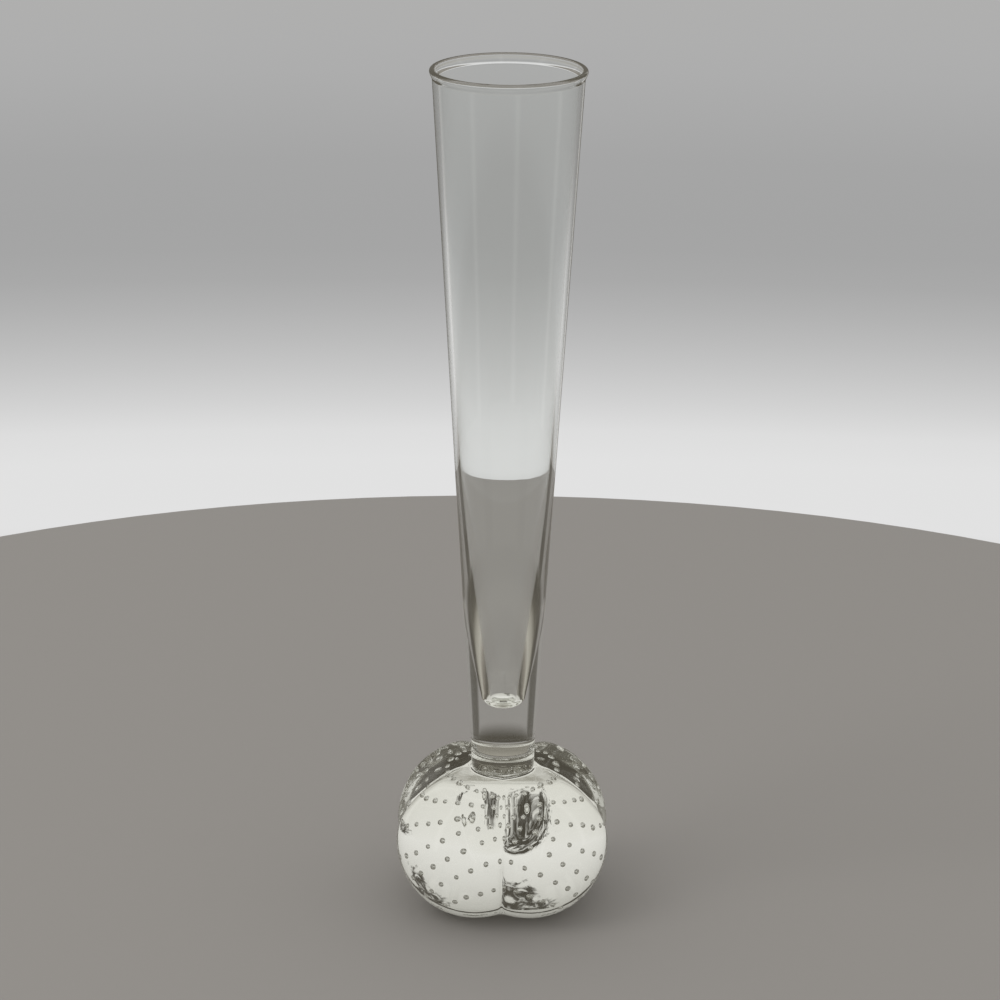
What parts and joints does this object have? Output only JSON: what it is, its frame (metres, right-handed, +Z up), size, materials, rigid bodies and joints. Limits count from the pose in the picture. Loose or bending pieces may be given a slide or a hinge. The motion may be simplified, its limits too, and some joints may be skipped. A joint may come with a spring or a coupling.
{
  "type": "bud vase",
  "caption": "Tall tapered clear glass bud vase with a flared rim and solid foot, fused by a short collar to a heavy lobed glass base full of air bubbles.",
  "frame": {"origin": "middle of the flat underside of the base", "axes": "+Z up along the tube, through the middle of the mouth; the four lobes stand at 45 degrees between +X and +Y, so creases run along X and Y; the picture's view looks along +Y"},
  "size_m": [0.0632, 0.0632, 0.254],
  "materials": {
    "tube_glass": "clear blown glass, fire-polished",
    "collar_glass": "clear solid glass, fire-polished",
    "casing_glass": "clear solid glass, fire-polished, ground and polished underneath",
    "core_glass": "clear solid glass with rows of pits"
  },
  "bodies": {
    "root": {"flower_tube": "tube_glass", "joining_collar": "collar_glass", "base_casing": "casing_glass", "bubble_core": "core_glass"}
  },
  "joints": []
}
